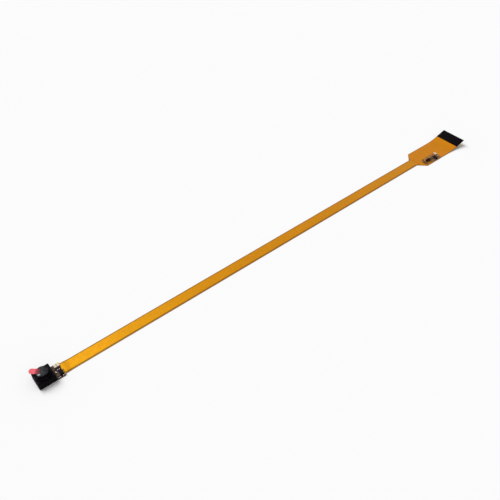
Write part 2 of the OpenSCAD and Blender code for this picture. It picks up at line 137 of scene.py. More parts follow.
# Protective film and pull tab.
FILM_R = 2.75
FILM_T = 0.06
FILM_SHIFT = 0.2                         # how far the disc lies off the lens axis, along X
TAB_DIR = math.radians(143)              # the tab points this way from the lens axis
TAB_W = 2.8
TAB_T = 0.05
TAB_FROM = 0.9
TAB_REACH = 5.9
BEND_FROM = 2.5                          # where the tongue bends up from the barrel's rim
BEND_L = 1.2
LIFT = math.radians(10)                  # slope of the tongue past its bend


def flex_line(x):
    """Height and slope of the flex's underside at a place along the part."""
    if x <= STRIP_END:
        return STEP_Z, 0.0
    if x < (STRIP_END + DROP_END) / 2:
        a = math.asin((x - STRIP_END) / DROP_R)
        return STEP_Z - DROP_R * (1 - math.cos(a)), -a
    if x < DROP_END:
        a = math.asin((DROP_END - x) / DROP_R)
        return DROP_R * (1 - math.cos(a)), -a
    if x <= CURL_X:
        return 0.0, 0.0
    if x < TIP_X:
        a = math.asin((x - CURL_X) / CURL_R)
        return CURL_R * (1 - math.cos(a)), a
    return CURL_R * (1 - math.cos(CURL)) + (x - TIP_X) * math.tan(CURL), CURL


def on_flex(x, y, h=FLEX_T):
    """A point at height h above the flex's underside."""
    z, a = flex_line(x)
    return Vector((x - h * math.sin(a), y, z + h * math.cos(a)))


def half_width(x):
    """Half the flex's width at a place along it."""
    if x < STRIP_END:
        from_end = min(x - HEAD_X, STRIP_END - x)
        if from_end >= OUTSIDE_R:
            return HEAD_W / 2
        return HEAD_W / 2 - OUTSIDE_R + math.sqrt(max(OUTSIDE_R ** 2 - (OUTSIDE_R - from_end) ** 2, 0))
    tangent = math.tan(math.radians(22.5))       # the taper runs at 45 degrees
    reach = math.sin(math.radians(45))
    start = TAPER_X - INSIDE_R * tangent
    stop = BASE_X + OUTSIDE_R * tangent
    if x < start:
        return RIBBON_W / 2
    if x < start + INSIDE_R * reach:
        return RIBBON_W / 2 + INSIDE_R - math.sqrt(INSIDE_R ** 2 - (x - start) ** 2)
    if x < stop - OUTSIDE_R * reach:
        return RIBBON_W / 2 + x - TAPER_X
    if x < stop:
        return END_W / 2 - OUTSIDE_R + math.sqrt(OUTSIDE_R ** 2 - (stop - x) ** 2)
    return END_W / 2


def spread(a, b, step):
    """Evenly spaced numbers from a to b, no further apart than step."""
    n = max(1, math.ceil((b - a) / step - 1e-9))
    return [a + (b - a) * i / n for i in range(n + 1)]


# ---------------------------------------------------------------- material helpers

def new_material(name, color, roughness, metallic=0.0, specular=0.5, **more):
    """A Principled material. Other sockets go by their names, with _ for a space."""
    mat = bpy.data.materials.new(name)
    mat.use_nodes = True
    shader = mat.node_tree.nodes["Principled BSDF"]
    shader.inputs["Base Color"].default_value = (*color, 1)
    shader.inputs["Roughness"].default_value = roughness
    shader.inputs["Metallic"].default_value = metallic
    shader.inputs["Specular IOR Level"].default_value = specular
    for key, value in more.items():
        shader.inputs[key.replace("_", " ")].default_value = value
    return mat


def nodes_of(mat):
    tree = mat.node_tree
    return tree.nodes, tree.links, tree.nodes["Principled BSDF"]


def noise_node(mat, scale, detail=3.0, stretch=(1, 1, 1)):
    """Noise fixed to the part, finer for a larger scale."""
    nodes, links, _ = nodes_of(mat)
    place = nodes.new("ShaderNodeTexCoord")
    mapping = nodes.new("ShaderNodeMapping")
    mapping.inputs["Scale"].default_value = stretch
    grain = nodes.new("ShaderNodeTexNoise")
    grain.inputs["Scale"].default_value = scale
    grain.inputs["Detail"].default_value = detail
    links.new(place.outputs["Object"], mapping.inputs["Vector"])
    links.new(mapping.outputs["Vector"], grain.inputs["Vector"])
    return grain


def range_node(mat, source, from_range, to_range=(0.0, 1.0)):
    """A number moved from one range to another."""
    nodes, links, _ = nodes_of(mat)
    span = nodes.new("ShaderNodeMapRange")
    for key, value in zip(("From Min", "From Max", "To Min", "To Max"), (*from_range, *to_range)):
        span.inputs[key].default_value = value
    links.new(source, span.inputs["Value"])
    return span.outputs["Result"]


def ramp_node(mat, source, stops):
    """Colours for a number from 0 to 1, from (place, colour) stops."""
    nodes, links, _ = nodes_of(mat)
    ramp = nodes.new("ShaderNodeValToRGB")
    while len(ramp.color_ramp.elements) < len(stops):
        ramp.color_ramp.elements.new(0.5)
    for element, (position, color) in zip(ramp.color_ramp.elements, stops):
        element.position = position
        element.color = (*color, 1)
    links.new(source, ramp.inputs["Fac"])
    return ramp.outputs["Color"]


def colour_noise(mat, scale, stops, detail=3.0, stretch=(1, 1, 1)):
    """Soft mottling of the base colour."""
    _, links, shader = nodes_of(mat)
    color = ramp_node(mat, noise_node(mat, scale, detail, stretch).outputs["Fac"], stops)
    links.new(color, shader.inputs["Base Color"])
    return color


def rough_noise(mat, scale, low, high, stretch=(1, 1, 1)):
    """Duller and shinier spots, from one roughness to another."""
    _, links, shader = nodes_of(mat)
    grain = noise_node(mat, scale, 4.0, stretch)
    links.new(range_node(mat, grain.outputs["Fac"], (0.3, 0.7), (low, high)), shader.inputs["Roughness"])


def bump_noise(mat, scale, depth_mm, strength=0.5, detail=3.0, stretch=(1, 1, 1)):
    """A fine uneven surface."""
    nodes, links, shader = nodes_of(mat)
    grain = noise_node(mat, scale, detail, stretch)
    bump = nodes.new("ShaderNodeBump")
    bump.inputs["Strength"].default_value = strength
    bump.inputs["Distance"].default_value = depth_mm * MM
    links.new(grain.outputs["Fac"], bump.inputs["Height"])
    links.new(bump.outputs["Normal"], shader.inputs["Normal"])


def place_axis(mat, turn=0.0):
    """The place along an axis of the part that lies turned about z, in millimetres."""
    nodes, links, _ = nodes_of(mat)
    place = nodes.new("ShaderNodeTexCoord")
    mapping = nodes.new("ShaderNodeMapping")
    mapping.vector_type = "TEXTURE"
    mapping.inputs["Rotation"].default_value = (0, 0, turn)
    mapping.inputs["Scale"].default_value = (MM, MM, MM)
    parts = nodes.new("ShaderNodeSeparateXYZ")
    links.new(place.outputs["Object"], mapping.inputs["Vector"])
    links.new(mapping.outputs["Vector"], parts.inputs["Vector"])
    return parts.outputs["X"]


def distance_from(mat, point_mm):
    """The distance from a point of the part, in millimetres."""
    nodes, links, _ = nodes_of(mat)
    place = nodes.new("ShaderNodeTexCoord")
    gap = nodes.new("ShaderNodeVectorMath")
    gap.operation = "DISTANCE"
    gap.inputs[1].default_value = tuple(v * MM for v in point_mm)
    scale = nodes.new("ShaderNodeMath")
    scale.operation = "DIVIDE"
    scale.inputs[1].default_value = MM
    links.new(place.outputs["Object"], gap.inputs[0])
    links.new(gap.outputs["Value"], scale.inputs[0])
    return scale.outputs["Value"]


def along_ramp(mat, axis, low, high, stops):
    """Colours that follow a place, from low to high."""
    return ramp_node(mat, range_node(mat, axis, (low, high)), stops)


def blend(mat, how, a, b):
    """Puts two colours together into the base colour."""
    nodes, links, shader = nodes_of(mat)
    mix = nodes.new("ShaderNodeMix")
    mix.data_type = "RGBA"
    mix.blend_type = how
    mix.inputs["Factor"].default_value = 1.0
    links.new(a, mix.inputs[6])
    links.new(b, mix.inputs[7])
    links.new(mix.outputs[2], shader.inputs["Base Color"])
    return mix.outputs[2]


def tinted(color, k):
    """A colour made lighter or darker."""
    return tuple(min(1.0, c * k) for c in color)


# ---------------------------------------------------------------- materials of the flex

WHITE = (1, 1, 1)
AMBER = (0.56, 0.179, 0.0005)
# The bare laminate carries no copper. Its dark tone is also painted shade along the ribbon's edges.
BARE_AND_EDGE_SHADE = (0.275, 0.090, 0.004)
YELLOW = (0.95, 1.0, 0.005, 1)           # the tint of what the copper throws back through the coverlay

coverlay = new_material("coverlay_bare", BARE_AND_EDGE_SHADE, 0.36, 0.0, 0.3, Specular_Tint=YELLOW)
colour_noise(coverlay, 900, [(0.3, tinted(BARE_AND_EDGE_SHADE, 0.88)), (0.7, tinted(BARE_AND_EDGE_SHADE, 1.12))])
rough_noise(coverlay, 500, 0.32, 0.42)
bump_noise(coverlay, 2600, 0.004, 0.35)


def strip_material():
    """The head's coverlay over the dark stiffener, browner beside the holder."""
    mat = new_material("coverlay_on_dark", (0.05, 0.022, 0.014), 0.5, 0.0, 0.1)
    mottle = colour_noise(mat, 1300, [(0.3, (0.6, 0.5, 0.45)), (0.7, WHITE)])
    along = along_ramp(mat, place_axis(mat), HEAD_X + HEAD_W, STRIP_END, [
        (0.0, (0.14, 0.075, 0.052)), (0.2, (0.10, 0.045, 0.028)),
        (0.32, (0.02, 0.008, 0.005)), (1.0, (0.025, 0.01, 0.006))])
    blend(mat, "MULTIPLY", mottle, along)
    rough_noise(mat, 900, 0.4, 0.55)
    bump_noise(mat, 2600, 0.004, 0.35)
    return mat


def parts_shade_material():
    """The coverlay under the wide end's small parts, with painted shade round them, darkest in its middle.
    """
    mat = new_material("coverlay_round_parts", (0.36, 0.13, 0.002), 0.4, 0.0, 0.3, Specular_Tint=YELLOW)
    mottle = colour_noise(mat, 900, [(0.3, (0.86, 0.84, 0.8)), (0.7, WHITE)])
    # Painted shade along the window and across it, deepest between the parts.
    along = along_ramp(mat, place_axis(mat), BASE_X - 1, BASE_X + 16, [
        (0.0, (0.45, 0.16, 0.003)), (0.3, (0.42, 0.15, 0.006)), (0.42, (0.28, 0.10, 0.01)),
        (0.72, (0.30, 0.11, 0.012)), (0.92, (0.42, 0.15, 0.006))])
    edge = 0.2 - END_W / 2
    across = along_ramp(mat, place_axis(mat, math.pi / 2), edge, edge + 6, [
        (0.0, WHITE), (0.25, (0.8, 0.75, 0.7)), (0.42, (0.38, 0.32, 0.3)),
        (0.62, (0.38, 0.32, 0.3)), (0.82, (0.9, 0.88, 0.85)), (1.0, WHITE)])
    blend(mat, "MULTIPLY", blend(mat, "MULTIPLY", mottle, along), across)
    bump_noise(mat, 2600, 0.004, 0.35)
    return mat


strip_cover = strip_material()
parts_cover = parts_shade_material()

copper = new_material("coverlay_copper", AMBER, 0.41, 0.23, 1.0, Specular_Tint=YELLOW)
colour_noise(copper, 160, [(0.3, tinted(AMBER, 0.95)), (0.7, tinted(AMBER, 1.05))], 4.0, (0.35, 1, 1))
rough_noise(copper, 420, 0.36, 0.46)
bump_noise(copper, 1500, 0.004, 0.3)

pour = new_material("coverlay_ground", tinted(AMBER, 0.965), 0.46, 0.1, 0.35, Specular_Tint=YELLOW)
colour_noise(pour, 160, [(0.3, tinted(AMBER, 0.925)), (0.7, tinted(AMBER, 1.005))], 4.0)
rough_noise(pour, 420, 0.42, 0.52)
bump_noise(pour, 1500, 0.004, 0.3)

laminate = new_material("stiffener_laminate", (0.012, 0.010, 0.009), 0.5, 0.0, 0.1)
colour_noise(laminate, 1800, [(0.35, (0.009, 0.007, 0.006)), (0.65, (0.016, 0.013, 0.011))])
bump_noise(laminate, 3000, 0.006)

black_film = new_material("stiffener_black", (0.004, 0.003, 0.004), 0.5, 0.0, 0.015)
colour_noise(black_film, 1500, [(0.3, (0.003, 0.002, 0.003)), (0.7, (0.006, 0.005, 0.006))])
rough_noise(black_film, 900, 0.48, 0.62)
bump_noise(black_film, 5000, 0.004)

pad_metal = new_material("pad_plate", (0.10, 0.06, 0.03), 0.55, 0.4, 0.3)
colour_noise(pad_metal, 1800, [(0.3, (0.06, 0.035, 0.016)), (0.7, (0.16, 0.10, 0.055))])
bump_noise(pad_metal, 6000, 0.002, 0.3)

gold = new_material("gold_plate", (0.90, 0.60, 0.22), 0.3, 1.0)
colour_noise(gold, 1200, [(0.3, (0.84, 0.54, 0.18)), (0.7, (0.95, 0.66, 0.27))])
rough_noise(gold, 1500, 0.22, 0.4, (0.2, 1, 1))
bump_noise(gold, 6000, 0.002, 0.3, 3.0, (0.15, 1, 1))


# ---------------------------------------------------------------- materials of the camera

holder_black = new_material("holder_black", (0.002, 0.0015, 0.002), 0.6, 0.0, 0.2,
                            Specular_Tint=(0.04, 0.03, 0.04, 1))
colour_noise(holder_black, 700, [(0.3, (0.0014, 0.001, 0.0014)), (0.7, (0.003, 0.0022, 0.003))])
rough_noise(holder_black, 1200, 0.52, 0.68)
bump_noise(holder_black, 9000, 0.008, 0.5)

barrel_black = new_material("barrel_black", (0.003, 0.003, 0.0035), 0.5, 0.0, 0.04)
colour_noise(barrel_black, 900, [(0.3, (0.0022, 0.0022, 0.0026)), (0.7, (0.0042, 0.0042, 0.0048))])
rough_noise(barrel_black, 1500, 0.4, 0.52)
bump_noise(barrel_black, 12000, 0.004, 0.4)


def film_material():
    """Grey see-through film that fades to one side, with a painted pale highlight on the other."""
    mat = new_material("film_clear", (0.05, 0.052, 0.06), 0.42, 0.0, 0.05, Alpha=0.62)
    mottle = colour_noise(mat, 620, [(0.38, (0.022, 0.022, 0.026)), (0.68, (0.088, 0.091, 0.107))], 4.0)
    # A painted highlight on the film near the tab.
    painted_highlight_at = (-1.78, -0.8, BARREL_TOP + FILM_T)
    painted_highlight = along_ramp(mat, distance_from(mat, painted_highlight_at), 0.0, 1.0, [
        (0.0, (0.66, 0.72, 0.72)), (0.4, (0.36, 0.40, 0.40)), (0.85, (0, 0, 0))])
    fade = along_ramp(mat, place_axis(mat, math.radians(-39)), -2.4, 2.6, [
        (0.0, WHITE), (0.5, (0.85, 0.85, 0.87)), (0.8, (0.5, 0.5, 0.52))])
    blend(mat, "ADD", blend(mat, "MULTIPLY", mottle, fade), painted_highlight)
    bump_noise(mat, 700, 0.03, 0.4, 2.0)
    return mat


def tab_material():
    """Red film, painted dark where it lies over the black lens and painted bright on the free tongue, for
    the light the floor sends through it.
    """
    mat = new_material("tab_red", (0.93, 0.16, 0.22), 0.34, 0.0, 0.3, Transmission_Weight=0.08, IOR=1.2)
    mottle = colour_noise(mat, 500, [(0.35, (0.95, 0.93, 0.93)), (0.65, WHITE)])
    along = along_ramp(mat, place_axis(mat, TAB_DIR), TAB_FROM, TAB_REACH, [
        (0.0, (0.09, 0.028, 0.032)), (0.18, (0.23, 0.034, 0.042)), (0.34, (0.50, 0.05, 0.062)),
        (0.46, (1.0, 0.185, 0.225)), (0.9, (0.96, 0.165, 0.2))])
    blend(mat, "MULTIPLY", mottle, along)
    bump_noise(mat, 600, 0.02, 0.4, 2.0)
    return mat


film_clear = film_material()
tab_red = tab_material()

lens_clear = new_material("lens_clear", (0.62, 0.66, 0.80), 0.04, 0.0, 0.6, Transmission_Weight=0.85,
                          IOR=1.53, Coat_Weight=0.6, Coat_Roughness=0.03)
colour_noise(lens_clear, 200, [(0.35, (0.52, 0.60, 0.78)), (0.65, (0.66, 0.60, 0.80))])

cover_glass = new_material("cover_glass", (0.9, 0.95, 0.95), 0.03, Transmission_Weight=0.9, IOR=1.5)
colour_noise(cover_glass, 100, [(0.3, (0.88, 0.94, 0.94)), (0.7, (0.94, 0.97, 0.96))])

filter_glass = new_material("filter_glass", (0.5, 0.85, 0.8), 0.04, Transmission_Weight=0.8, IOR=1.5)
colour_noise(filter_glass, 150, [(0.3, (0.45, 0.8, 0.78)), (0.7, (0.58, 0.88, 0.8))])

silicon = new_material("silicon", (0.16, 0.18, 0.26), 0.22, 0.5)
colour_noise(silicon, 1500, [(0.3, (0.12, 0.14, 0.24)), (0.7, (0.20, 0.2, 0.3))])
bump_noise(silicon, 40000, 0.001, 0.2)


# ---------------------------------------------------------------- materials of the small parts

ceramic = new_material("ceramic_tan", (0.70, 0.56, 0.40), 0.55)
colour_noise(ceramic, 2500, [(0.3, (0.62, 0.49, 0.34)), (0.7, (0.78, 0.63, 0.47))])
bump_noise(ceramic, 9000, 0.008)

ceramic_brown = new_material("ceramic_brown", (0.09, 0.045, 0.025), 0.5, 0.0, 0.3)
colour_noise(ceramic_brown, 2500, [(0.3, (0.06, 0.03, 0.016)), (0.7, (0.13, 0.07, 0.042))])
bump_noise(ceramic_brown, 9000, 0.008)

resistor_black = new_material("resistor_black", (0.012, 0.012, 0.015), 0.35)
colour_noise(resistor_black, 2500, [(0.3, (0.009, 0.009, 0.012)), (0.7, (0.018, 0.018, 0.022))])
bump_noise(resistor_black, 7000, 0.006)

package_black = new_material("package_black", (0.004, 0.003, 0.003), 0.6, 0.0, 0.06)
colour_noise(package_black, 2500, [(0.3, (0.003, 0.002, 0.002)), (0.7, (0.007, 0.005, 0.005))])
rough_noise(package_black, 3000, 0.52, 0.7)
bump_noise(package_black, 16000, 0.01, 0.6)

solder = new_material("solder", (0.09, 0.06, 0.045), 0.45, 0.5, 0.3)
colour_noise(solder, 3000, [(0.3, (0.04, 0.026, 0.018)), (0.7, (0.16, 0.11, 0.085))])
rough_noise(solder, 4000, 0.32, 0.48)
bump_noise(solder, 6000, 0.008, 0.4)


def tin_material(name, color, dark, light, metallic, roughness, dullest):
    """Tin plate in one tone; its three copies paint the same tin shaded, glinting and lit."""
    mat = new_material(name, color, roughness, metallic, 0.4)
    colour_noise(mat, 2500, [(0.3, dark), (0.7, light)])
    rough_noise(mat, 3000, *dullest)
    bump_noise(mat, 9000, 0.005, 0.4)
    return mat


# The same tin three times: darker as painted shade, brighter as a painted glint, pale as a painted
# highlight.
tin = tin_material("tin_plate", (0.17, 0.11, 0.085), (0.11, 0.07, 0.055), (0.26, 0.18, 0.14),
                   0.45, 0.52, (0.44, 0.6))
tin_painted_glint = tin_material("tin_painted_glint", (0.55, 0.40, 0.36), (0.42, 0.29, 0.26), (0.68, 0.52, 0.48),
                          0.6, 0.42, (0.34, 0.5))
tin_painted_highlight = tin_material("tin_painted_highlight", (0.68, 0.60, 0.52), (0.58, 0.50, 0.42), (0.78, 0.70, 0.62),
                        0.3, 0.5, (0.44, 0.6))


# ---------------------------------------------------------------- mesh helpers

def place_piece(name, mesh, material, replaces, sharp):
    """A mesh as a piece that rides on the module."""
    mesh.materials.append(material)
    mesh.shade_smooth()
    mesh.set_sharp_from_angle(angle=math.radians(sharp))
    piece = bpy.data.objects.new(name, mesh)
    bpy.context.scene.collection.objects.link(piece)
    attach(piece, "root")
    if replaces:
        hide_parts(*replaces)
    return piece


def add(name, verts_mm, faces, material, replaces=(), sharp=30):
    """A piece from points in millimetres and the faces between them."""
    mesh = bpy.data.meshes.new(name)
    mesh.from_pydata([tuple(Vector(v) * MM) for v in verts_mm], [], faces)
    bm = bmesh.new()
    bm.from_mesh(mesh)
    bmesh.ops.recalc_face_normals(bm, faces=bm.faces)
    bm.to_mesh(mesh)
    bm.free()
    return place_piece(name, mesh, material, replaces, sharp)


def rings_to_faces(count, n, closed):
    """Faces that join count rings of n points each."""
    faces = []
    for k in range(count if closed else count - 1):
        a, b = k * n, (k + 1) % count * n
        for i in range(n):
            j = (i + 1) % n
            faces.append((a + i, a + j, b + j, b + i))
    return faces


def lathe(name, profile, material, replaces, n=72, sharp=30):
    """A solid turned about the lens axis from (radius, height) points. A radius of 0 is a pole."""
    verts, faces, rings = [], [], []
    turns = [math.tau * i / n for i in range(n)]
    for r, z in profile:
        start = len(verts)
        verts += [(r * math.cos(t), r * math.sin(t), z) for t in (turns if r else [0])]
        rings.append(range(start, len(verts)))
    pairs = list(zip(rings, rings[1:]))
    if profile[0][0] != 0:
        pairs.append((rings[-1], rings[0]))
    for a, b in pairs:
        for i in range(n):
            j = (i + 1) % n
            if len(a) == 1:
                faces.append((a[0], b[j], b[i]))
            elif len(b) == 1:
                faces.append((a[i], a[j], b[0]))
            else:
                faces.append((a[i], a[j], b[j], b[i]))
    add(name, verts, faces, material, replaces, sharp)


def strip_sheet(columns, place, low, high, edge, across=9):
    """Points and faces of a sheet: columns are (along, half width), place(x, y, h) puts a point."""
    verts, n = [], 0
    for x, w in columns:
        ys = [(-1 + 2 * i / (across - 1)) * (w - edge) for i in range(across)]
        loop = [(y, high) for y in ys] + [(w, high - edge), (w, low + edge)]
        loop += [(y, low) for y in reversed(ys)] + [(-w, low + edge), (-w, high - edge)]
        n = len(loop)
        verts += [place(x, y, h) for y, h in loop]
    faces = rings_to_faces(len(columns), n, False)
    faces.append(tuple(range(n)))
    faces.append(tuple(range(len(verts) - n, len(verts))))
    return verts, faces


def node_mesh(node):
    """An editable copy of a node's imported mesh, with its corners joined."""
    bm = bmesh.new()
    bm.from_mesh(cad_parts[node].data)
    bmesh.ops.remove_doubles(bm, verts=bm.verts, dist=2e-7)
    return bm


def solids_of(bm):
    """The vertices of each separate solid."""
    left, solids = set(bm.verts), []
    while left:
        todo = [left.pop()]
        solid = set(todo)
        while todo:
            vert = todo.pop()
            for edge in vert.link_edges:
                other = edge.other_vert(vert)
                if other in left:
                    left.remove(other)
                    solid.add(other)
                    todo.append(other)
        solids.append(solid)
    return solids


def solid_boxes(node):
    """Lowest and highest corner of each separate solid of a node, in millimetres."""
    bm = node_mesh(node)
    boxes = []
    for solid in solids_of(bm):
        axes = list(zip(*(v.co for v in solid)))
        boxes.append((Vector(map(min, axes)) / MM, Vector(map(max, axes)) / MM))
    bm.free()
    return sorted(boxes, key=lambda box: (round(box[0].x, 4), round(box[0].y, 4)))


def paint_solids(bm, steps_mm, painted_highlight_places):
    """Numbers each solid's material by the height steps it passes, and past them all at the listed places,
    for a painted highlight.
    """
    near = 0.7
    for solid in solids_of(bm):
        heights = [v.co.z for v in solid]
        height = max(heights) - min(heights)
        index = sum(height > step * MM for step in steps_mm)
        centre = sum((v.co for v in solid), Vector()) / len(solid) / MM
        if any(math.hypot(centre.x - x, centre.y - y) < near for x, y in painted_highlight_places):
            index = len(steps_mm) + 1
        for face in {f for v in solid for f in v.link_faces}:
            face.material_index = index


def refine(node, width, material, angle=25, sharp=40, taller=(), pale=None, painted_highlight_places=()):
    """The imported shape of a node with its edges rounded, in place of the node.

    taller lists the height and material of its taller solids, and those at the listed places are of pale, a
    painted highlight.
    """
    bm = node_mesh(node)
    bmesh.ops.dissolve_limit(bm, angle_limit=math.radians(1.2), verts=bm.verts, edges=bm.edges)
    edges = [e for e in bm.edges if e.is_manifold and e.calc_face_angle(0) > math.radians(angle)]
    bmesh.ops.bevel(bm, geom=edges, offset=width * MM, offset_type="OFFSET", segments=2,
                    profile=0.5, clamp_overlap=True, affect="EDGES")
    bmesh.ops.recalc_face_normals(bm, faces=bm.faces)
    if taller:
        paint_solids(bm, [step for step, _ in taller], painted_highlight_places)
    mesh = bpy.data.meshes.new(node + "_shaped")
    bm.to_mesh(mesh)
    bm.free()
    place_piece(node + "_shaped", mesh, material, [node], sharp)
    for _, other in taller:
        mesh.materials.append(other)
    if pale:
        mesh.materials.append(pale)


# ---------------------------------------------------------------- flex circuit

def flex_columns():
    """Places along the flex with its half width, closer together where it bends or changes width."""
    just_inside = 1e-6
    arc_steps = [math.radians(a) for a in range(0, 91, 15)]
    xs = [HEAD_X + OUTSIDE_R * (1 - math.cos(a)) for a in arc_steps]
    xs += spread(HEAD_X + OUTSIDE_R, STRIP_END - OUTSIDE_R, 2)
    xs += [STRIP_END - OUTSIDE_R * (1 - math.sin(a)) for a in arc_steps]
    head = [(x, half_width(x - just_inside)) for x in sorted(set(round(x, 5) for x in xs))]
    head[0] = (head[0][0], HEAD_W / 2 - OUTSIDE_R)
    head[-1] = (STRIP_END, HEAD_W / 2 - OUTSIDE_R)
    xs = spread(STRIP_END + 0.002, DROP_END, 0.3) + spread(DROP_END, TAPER_X - 0.6, 6)
    xs += spread(TAPER_X - 0.6, TAPER_X + 0.5, 0.08) + spread(TAPER_X + 0.5, BASE_X - 0.3, 1)
    xs += spread(BASE_X - 0.3, BASE_X + 0.2, 0.05) + spread(BASE_X + 0.2, CURL_X, 2)
    xs += spread(CURL_X, TIP_X, 0.4) + spread(TIP_X, TIP_END, 1.5)
    return head + [(x, half_width(x)) for x in sorted(set(round(x, 5) for x in xs))]


def flex_laminate():
    """The laminate, with darker coverlay on the head."""
    verts, faces = strip_sheet(flex_columns(), on_flex, 0.0, FLEX_T, edge=0.02)
    piece = add("flex_laminate", verts, faces, coverlay, ["flex_circuit"], sharp=35)
    piece.data.materials.append(strip_cover)
    for face in piece.data.polygons:
        if face.center.x < (STRIP_END - OUTSIDE_R) * MM:
            face.material_index = 1


flex_laminate()


# ---------------------------------------------------------------- traces

def strips(name, paths, low, high, material):
    """Flat conductors just under the coverlay: each path is a list of (x, y, width)."""
    verts, faces = [], []
    lean = 0.02
    for path in paths:
        start = len(verts)
        for x, y, w in path:
            for dy, h in ((-w / 2, low), (-w / 2 + lean, high), (w / 2 - lean, high), (w / 2, low)):
                verts.append(on_flex(x, y + dy, h))
        for k in range(len(path) - 1):
            a, b = start + 4 * k, start + 4 * k + 4
            faces += [(a + i, b + i, b + (i + 1) % 4, a + (i + 1) % 4) for i in range(4)]
        faces.append((start, start + 1, start + 2, start + 3))
        faces.append((len(verts) - 4, len(verts) - 3, len(verts) - 2, len(verts) - 1))
    add(name, verts, faces, material)


def ease(t):
    """A smooth start and stop from 0 to 1."""
    t = min(1.0, max(0.0, t))
    return t * t * (3 - 2 * t)


def trace(i, xs, end_w=0.5):
    """The path of a trace, which fans out from the ribbon's pitch to the contacts'."""
    path = []
    from_middle = i - (CONTACTS - 1) / 2
    for x in xs:
        t = ease((x - FAN_FROM) / (FAN_TO - FAN_FROM))
        y = from_middle * (TRACE_PITCH + t * (PITCH - TRACE_PITCH)) + TRACE_SHIFT * (1 - t)
        path.append((x, y, TRACE_W + t * (end_w - TRACE_W)))
    return path


def top_traces():
    """From the head to the vias. The first six start a little further from the head's parts."""
    along = spread(STRIP_END + 0.4, DROP_END, 0.4) + spread(DROP_END, FAN_FROM, 8)[1:]
    paths = []
    for i in range(CONTACTS):
        start = STRIP_END + (0.25 if i < 6 else -0.35)
        paths.append(trace(i, [start] + along + spread(FAN_FROM, VIA_X[i], 0.5)[1:]))
    strips("top_traces", paths, FLEX_T - SUNK, FLEX_T + RISE, copper)


def under_traces():
    """From the head to the contacts."""
    last_x = TIP_END - 4.4 * math.cos(CURL)      # just past where the contacts start
    along = [x for x in spread(HEAD_X + 10, DROP_END, 0.4) if x > STRIP_END + 0.2]
    along += spread(DROP_END, FAN_FROM, 8)[1:] + spread(FAN_FROM, FAN_TO, 0.5)[1:]
    along += spread(FAN_TO, CURL_X, 3)[1:] + spread(CURL_X, TIP_X, 0.5)[1:]
    along += spread(TIP_X, last_x, 1)[1:]
    paths = [trace(i, along, 0.6) for i in range(CONTACTS)]
    strips("under_traces", paths, SUNK, -RISE * 0.4, copper)


top_traces()
under_traces()


# ---------------------------------------------------------------- ground copper on the wide end

def parts_window():
    """The rectangle round the wide end's small parts, as (x from, x to, y from, y to)."""
    boxes = [mm_box(node) for node in ("end_solder", "regulator_1", "regulator_2")]
    low = Vector(map(min, *(box[0] for box in boxes)))
    high = Vector(map(max, *(box[1] for box in boxes)))
    return low.x - 0.45, high.x + 0.45, low.y - 0.2, high.y + 0.45


WINDOW = parts_window()


def ground_copper():
    """Full width, but beside the small parts only up to their window."""
    x_from, x_to, _, y_to = WINDOW
    edge = END_W / 2 - POUR_INSET
    left = [(x, 0, 2 * (half_width(x) - POUR_INSET)) for x in spread(BASE_X - 2.88, x_from, 0.25)]
    middle = [(x, (edge + y_to) / 2, edge - y_to) for x in spread(x_from, x_to, 1)]
    right = [(x, 0, 2 * edge) for x in spread(x_to, CURL_X, 2) + spread(CURL_X, TIP_X - 0.05, 0.4)[1:]]
    strips("ground_copper", [left, middle, right], FLEX_T - SUNK, FLEX_T + RISE, pour)


def parts_shade_sheet():
    """A sheet between the small parts which fills the window, coloured with painted shade round them."""
    x_from, x_to, y_from, y_to = WINDOW
    path = [(x, (y_from + y_to) / 2, y_to - y_from) for x in spread(x_from, x_to, 1)]
    strips("parts_shade_sheet", [path], FLEX_T - SUNK, FLEX_T + 0.005, parts_cover)


def via_places():
    """At the ends of the top traces, along the wide end's edges, and a few between."""
    places = [trace(i, [VIA_X[i]])[0][:2] for i in range(CONTACTS)]
    edge = END_W / 2 - 0.95
    for x in spread(BASE_X + 1.5, CURL_X - 1, 3.2):
        places.append((x, edge))
        if x > WINDOW[1] + 0.35:
            places.append((x, -edge))
    between = ((1.2, 1.8), (6.5, 1.2), (12, 1.6), (16.5, -1.5), (17, 3.5))
    return places + [(BASE_X + x, y) for x, y in between]


def vias():
    """Small round lands, slightly domed, each with a dip in the middle."""
    h, n = RISE + 0.008, 16
    verts, faces = [], []
    for x, y in via_places():
        a = len(verts)
        for share, dz in ((1.0, 0.0), (0.86, h), (0.42, h), (0.34, h * 0.3)):
            r = VIA_R * share
            for t in (math.tau * i / n for i in range(n)):
                verts.append(on_flex(x + r * math.cos(t), y + r * math.sin(t), FLEX_T + dz))
        verts.append(on_flex(x, y, FLEX_T + h * 0.2))
        faces += [tuple(a + f for f in face) for face in rings_to_faces(4, n, False)]
        faces += [(a + 3 * n + i, a + 3 * n + (i + 1) % n, a + 4 * n) for i in range(n)]
        faces.append(tuple(a + i for i in range(n)))
    add("vias", verts, faces, pour)


ground_copper()
parts_shade_sheet()
vias()


# ---------------------------------------------------------------- pads under the small parts

def pads(name, node, grow):
    """A plated pad round the foot of each joint of a node."""
    verts, faces = [], []
    height, inset, r = 0.016, 0.006, 0.05
    for low, high in solid_boxes(node):
        west, east = low.x - grow + r, high.x + grow - r
        south, north = low.y - grow + r, high.y + grow - r
        start = len(verts)
        for radius, z in ((r, low.z), (r - inset, low.z + height)):
            for x, y, turn in ((east, north, 0), (west, north, 90), (west, south, 180), (east, south, 270)):
                for step in (0, 30, 60, 90):
                    t = math.radians(turn + step)
                    verts.append((x + radius * math.cos(t), y + radius * math.sin(t), z))
        faces += [tuple(start + f for f in face) for face in rings_to_faces(2, 16, False)]
        faces += [tuple(start + i for i in range(16)), tuple(start + 16 + i for i in range(16))]
    add(name, verts, faces, pad_metal)


pads("head_pads", "head_solder", 0.04)
pads("end_pads", "end_solder", 0.06)


# ---------------------------------------------------------------- lens holder and barrel

